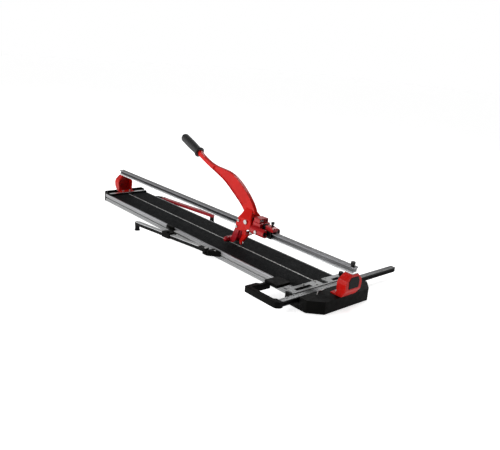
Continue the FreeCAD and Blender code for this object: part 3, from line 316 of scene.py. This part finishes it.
def black_casting():
    """Satin black with a fine leathery grain."""
    paint = Paint("black_textured_casting", (0.0016, 0.0016, 0.0013), 0.5)
    paint.put("Specular IOR Level", 0.04)
    paint.vary_colour(paint.noise(20), 0.7, 1.5)
    paint.vary_roughness(paint.noise(90), 0.42, 0.6)
    paint.cover(paint.worn_edges(0.54, 0.64), (0.02, 0.02, 0.02))
    paint.bump(paint.cells(900), 0.3, 0.0004)
    return paint.material


def drawn_metal(name, stretch, tone):
    """Drawn and anodised aluminium; the stretch draws the streaks out along the bar."""
    paint = Paint(name, (tone, tone * 1.01, tone * 1.02), 0.38, 1.0)
    streaks = paint.noise(900, 2, stretch)
    paint.vary_colour(streaks, 0.86, 1.06)
    paint.vary_roughness(paint.noise(400, 3, stretch), 0.3, 0.48)
    paint.bump(streaks, 0.15, 0.0002)
    return paint


def aluminium(name, stretch):
    return drawn_metal(name, stretch, 0.62).material


def rail_metal():
    """The rail, toned by height as painted light: painted shade on the grey top and in the near-black
    groove, which fades towards the fence, and a painted-shade dark line at the foot.
    """
    # The light base tone is a painted highlight on the rail's lower band.
    paint = drawn_metal("rail_aluminium", ALONG_X, 0.88)
    height = paint.along("Z")
    # Painted shade by height: the darker top face and the band above the groove, the near-black groove
    # that fades towards the fence, and the dark line at the foot.
    paint.cover(paint.calc("GREATER_THAN", height, RAIL_TOP_FACE), (0.15, 0.15, 0.155))
    paint.cover(paint.inside(height, RAIL_GROOVE_HIGH, RAIL_TOP_FACE), (0.22, 0.22, 0.23))
    fade = paint.span(paint.along("X"), 0.3, 0.62, 1, 0.88)
    groove_shade = paint.calc("MULTIPLY", paint.inside(height, RAIL_GROOVE_LOW, RAIL_GROOVE_HIGH), fade)
    paint.cover(groove_shade, (0.012, 0.012, 0.014))
    paint.cover(paint.inside(height, RAIL_BOTTOM, RAIL_LINE_TOP), (0.1, 0.1, 0.11))
    return paint.material


def table_metal():
    """The table profile: a side wall drawn darker as painted shade, with two thin lines, under a lip
    drawn lighter as painted highlight.
    """
    # The low base tone is painted shade on the side wall.
    paint = drawn_metal("table_aluminium", ALONG_X, 0.27)
    height = paint.along("Z")
    # Painted highlight: the lip is drawn lighter than the wall.
    paint.cover(paint.calc("GREATER_THAN", height, TABLE_LIP), (0.32, 0.32, 0.33))
    for low, high in TABLE_LINES:
        paint.cover(paint.inside(height, low, high), (0.08, 0.08, 0.09))
    return paint.material


def scale_metal(name, low, high, short_share, tone):
    """Aluminium with dark graduations across Y: short ones every 5 mm, long ones every 10 mm."""
    paint = drawn_metal(name, ALONG_Y, tone)
    along, across, up = (paint.along(axis) for axis in "YXZ")
    top = paint.calc("GREATER_THAN", up, SCALE_TOP_FACE)
    line_width = 0.0012
    for pitch, reach in ((0.005, low + (high - low) * short_share), (0.01, high)):
        lines = paint.ticks(along, pitch, line_width)
        marks = paint.calc("MULTIPLY", lines, paint.inside(across, low, reach))
        paint.cover(paint.calc("MULTIPLY", marks, top), (0.03, 0.03, 0.03))
    return paint.material


def mat_rubber():
    """Near-black rubber with a fine pebble grain and a little dust."""
    paint = Paint("mat_rubber", (0.0042, 0.0048, 0.0054), 0.75)
    paint.put("Specular IOR Level", 0.09)
    paint.vary_colour(paint.noise(25, 5), 0.7, 1.6)
    paint.vary_roughness(paint.noise(120), 0.64, 0.85)
    paint.bump(paint.cells(700), 0.6, 0.0006)
    return paint.material


def zinc_steel():
    paint = Paint("zinc_plated_steel", (0.5, 0.5, 0.49), 0.28, 1.0)
    paint.vary_colour(paint.noise(250), 0.82, 1.08)
    paint.vary_roughness(paint.noise(500), 0.2, 0.4)
    paint.bump(paint.noise(2500, 2), 0.12, 0.0002)
    return paint.material


def ridge_steel():
    """Ground steel edge with dull marks along it where tiles have been broken."""
    paint = Paint("ground_ridge_steel", (0.6, 0.6, 0.59), 0.42, 0.6)
    paint.vary_colour(paint.noise(90, 3), 0.3, 1.1)
    paint.vary_roughness(paint.noise(300), 0.34, 0.5)
    paint.bump(paint.noise(1200, 2), 0.2, 0.0002)
    return paint.material


def black_plastic(name="black_moulded_plastic", ridges=0):
    paint = Paint(name, (0.004, 0.004, 0.004), 0.38)
    paint.put("Specular IOR Level", 0.2)
    paint.vary_colour(paint.noise(40), 0.8, 1.4)
    paint.vary_roughness(paint.noise(200), 0.32, 0.46)
    paint.bump(paint.noise(1800, 2), 0.2, 0.0002)
    if ridges:
        paint.knurl(ridges, 0.9, 0.0008)
    return paint.material


def grip_rubber():
    """Soft black rubber with finger ribs round the grip and a fine grain."""
    paint = Paint("grip_rubber", (0.009, 0.009, 0.0095), 0.5)
    paint.put("Specular IOR Level", 0.35)
    paint.vary_colour(paint.noise(60, 4), 0.8, 1.5)
    paint.vary_roughness(paint.noise(150), 0.42, 0.6)
    turned = paint.node("ShaderNodeMapping", Vector=paint.place)
    grip_drop, grip_run = 44, 111
    turned.inputs["Rotation"].default_value = (0, math.atan2(grip_drop, grip_run), 0)
    rib_pitch = 0.0075
    paint.bump(paint.wave(paint.along("X", turned.outputs["Vector"]), rib_pitch), 0.6, 0.0007)
    paint.bump(paint.cells(1400), 0.3, 0.0003)
    return paint.material


def dark_plate():
    paint = Paint("dark_enamel_plate", (0.004, 0.003, 0.003), 0.32)
    paint.put("Specular IOR Level", 0.06)
    paint.vary_colour(paint.noise(70), 0.8, 1.4)
    paint.vary_roughness(paint.noise(160), 0.25, 0.4)
    paint.bump(paint.noise(1200, 2), 0.15, 0.0002)
    return paint.material


def black_anodised():
    paint = Paint("black_anodised_aluminium", (0.002, 0.002, 0.0022), 0.42)
    paint.put("Specular IOR Level", 0.06)
    streaks = paint.noise(900, 2, ALONG_Y)
    paint.vary_colour(streaks, 0.7, 1.5)
    paint.vary_roughness(streaks, 0.34, 0.5)
    paint.bump(streaks, 0.12, 0.0002)
    return paint.material


def carbide():
    paint = Paint("ground_carbide", (0.6, 0.6, 0.61), 0.22, 1.0)
    paint.vary_colour(paint.noise(900), 0.8, 1.1)
    paint.vary_roughness(paint.noise(1500), 0.16, 0.32)
    paint.bump(paint.noise(3000, 2), 0.1, 0.0001)
    return paint.material


SURFACES = {
    "black_casting": black_casting(),
    "red_paint": red_paint("red_powder_coat", (0.45, 0.005, 0.0025), 0.15),
    "brushed_aluminium": aluminium("drawn_aluminium", ALONG_X),
    "mat_rubber": mat_rubber(),
    "zinc_steel": zinc_steel(),
    "black_knob": black_plastic(),
    "grip_rubber": grip_rubber(),
    "dark_plate": dark_plate(),
    "black_anodised": black_anodised(),
    "carbide": carbide(),
}
# Darker copy of the red powder coat: painted shade on the far arm and the breaking foot.
SHADED_RED_DARK = red_paint("red_powder_coat_shaded_dark", (0.27, 0.005, 0.01), 0.5)
# Darker, glossier copy of the red powder coat: painted shade on the carriage, its housings, cover and
# lock block.
SHADED_RED_MID = red_paint("red_powder_coat_shaded_mid", (0.34, 0.004, 0.006), 0.5)
TABLE = table_metal()
KNURLED = black_plastic("black_knurled_plastic", 18)
OWN_SURFACES = {
    "guide_rail": rail_metal(),
    "fence_plate": scale_metal("fence_aluminium", 0.635, 0.6445, 0.6, 0.3),
    "bar_scale_strip": scale_metal("bar_scale_aluminium", 0.651, 0.663, 0.6, 0.13),
    "end_cap_strip": aluminium("crosswise_aluminium", ALONG_Y),
    "breaking_ridge": ridge_steel(),
    "far_support_arm": SHADED_RED_DARK,
    "breaking_foot": SHADED_RED_DARK,
    "carriage_body": SHADED_RED_MID,
    "carriage_cover": SHADED_RED_MID,
    "carriage_lock_block": SHADED_RED_MID,
    "near_bearing_housing": SHADED_RED_MID,
    "far_bearing_housing": SHADED_RED_MID,
    "near_table_profile": TABLE,
    "far_table_profile": TABLE,
    "fence_lock_knob": KNURLED,
    "lock_thumbscrew": KNURLED,
    "stay_knob": KNURLED,
}
SLOT_OF = {entry["node"]: entry["material_slot"] for entry in frame["record"]["subparts"]}


# ------------------------------------------------------------------ pieces made from CAD nodes

def copy_of(node):
    """A new piece with the node's shape, which rides on its body and stands for it."""
    source = nodes[node]
    piece = bpy.data.objects.new(node + "_finish", source.data.copy())
    bpy.context.scene.collection.objects.link(piece)
    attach(piece, source["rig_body"])
    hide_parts(node)
    piece.data.materials.clear()
    piece.data.materials.append(OWN_SURFACES.get(node, SURFACES[SLOT_OF[node]]))
    if piece.data.has_custom_normals:
        with bpy.context.temp_override(object=piece, active_object=piece):
            bpy.ops.mesh.customdata_custom_splitnormals_clear()
    for polygon in piece.data.polygons:
        polygon.use_smooth = True
    weld = piece.modifiers.new("Weld", "WELD")
    weld.merge_threshold = 0.00001
    return piece


def rounded(node, width):
    """The node with its sharp edges rounded, as machined or moulded pieces have them."""
    piece = copy_of(node)
    flat = piece.modifiers.new("Flat faces", "DECIMATE")
    flat.decimate_type = "DISSOLVE"
    flat.angle_limit = math.radians(0.5)
    bevel = piece.modifiers.new("Rounded edges", "BEVEL")
    bevel.width = width
    bevel.segments = 2
    bevel.limit_method = "ANGLE"
    bevel.angle_limit = math.radians(33)
    bevel.use_clamp_overlap = True
    bevel.harden_normals = True


def cast(node):
    """The node as a casting: every corner, inside and outside, runs over in a soft radius."""
    piece = copy_of(node)
    remesh = piece.modifiers.new("Cast skin", "REMESH")
    remesh.mode = "VOXEL"
    remesh.voxel_size = 0.001
    remesh.use_smooth_shade = True
    smooth = piece.modifiers.new("Cast radii", "SMOOTH")
    smooth.factor = 0.5
    smooth.iterations = 4
    thin = piece.modifiers.new("Fewer faces", "DECIMATE")
    thin.ratio = 0.35


CAST_NODES = ("lever_arm", "breaking_foot", "wheel_holder", "carriage_body", "near_bearing_housing",
              "far_bearing_housing", "near_arm_bracket", "far_arm_bracket")
COMMON_RADIUS = 0.0005
EDGE_RADIUS = {
    "left_tower": 0.0012, "right_tower": 0.0012, "foot_casting": 0.002, "left_end_cap": 0.0014,
    "side_stop_frame": 0.0018, "near_arm_stay": 0.0012, "lever_grip": 0.001, "far_support_arm": 0.0012,
    "near_support_arm": 0.0008, "carriage_lock_block": 0.0012, "carriage_cover": 0.0007,
    "rail_wiper": 0.001, "arm_pivot_bolts": 0.0002,
}
for name in nodes:
    if name in CAST_NODES:
        cast(name)
    else:
        rounded(name, EDGE_RADIUS.get(name, COMMON_RADIUS))

add_studio()
add_camera()
